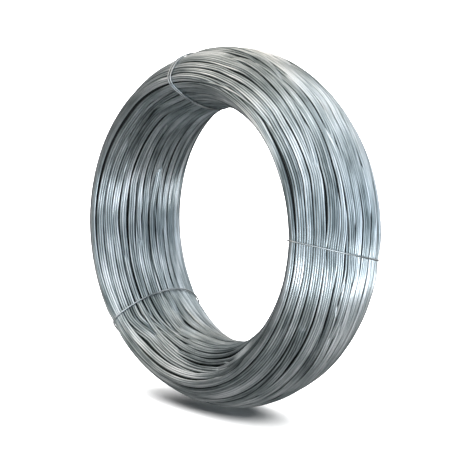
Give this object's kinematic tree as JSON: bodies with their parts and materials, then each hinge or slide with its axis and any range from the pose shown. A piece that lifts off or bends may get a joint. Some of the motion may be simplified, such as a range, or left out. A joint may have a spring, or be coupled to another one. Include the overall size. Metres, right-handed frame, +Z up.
{
  "type": "coil of galvanized garden wire",
  "caption": "Round coil of galvanized garden wire, wound loosely in layers, held together by tie wires round its section, with an open bore.",
  "frame": {"origin": "on the floor under the coil's centre, where its rim rests", "axes": "+Y along the coil's axis towards its back end, +Z up, +X to the right seen from the front end"},
  "size_m": [0.452, 0.1518, 0.45],
  "materials": {
    "galvanized_wire": "bright zinc coating, satin, with pale and dull streaks along the wire",
    "tie_wire": "thin zinc coating, duller than the coil"
  },
  "bodies": {
    "root": {"wire_coil": "galvanized_wire", "tie_right": "tie_wire", "tie_top": "tie_wire", "tie_left": "tie_wire"}
  },
  "joints": []
}
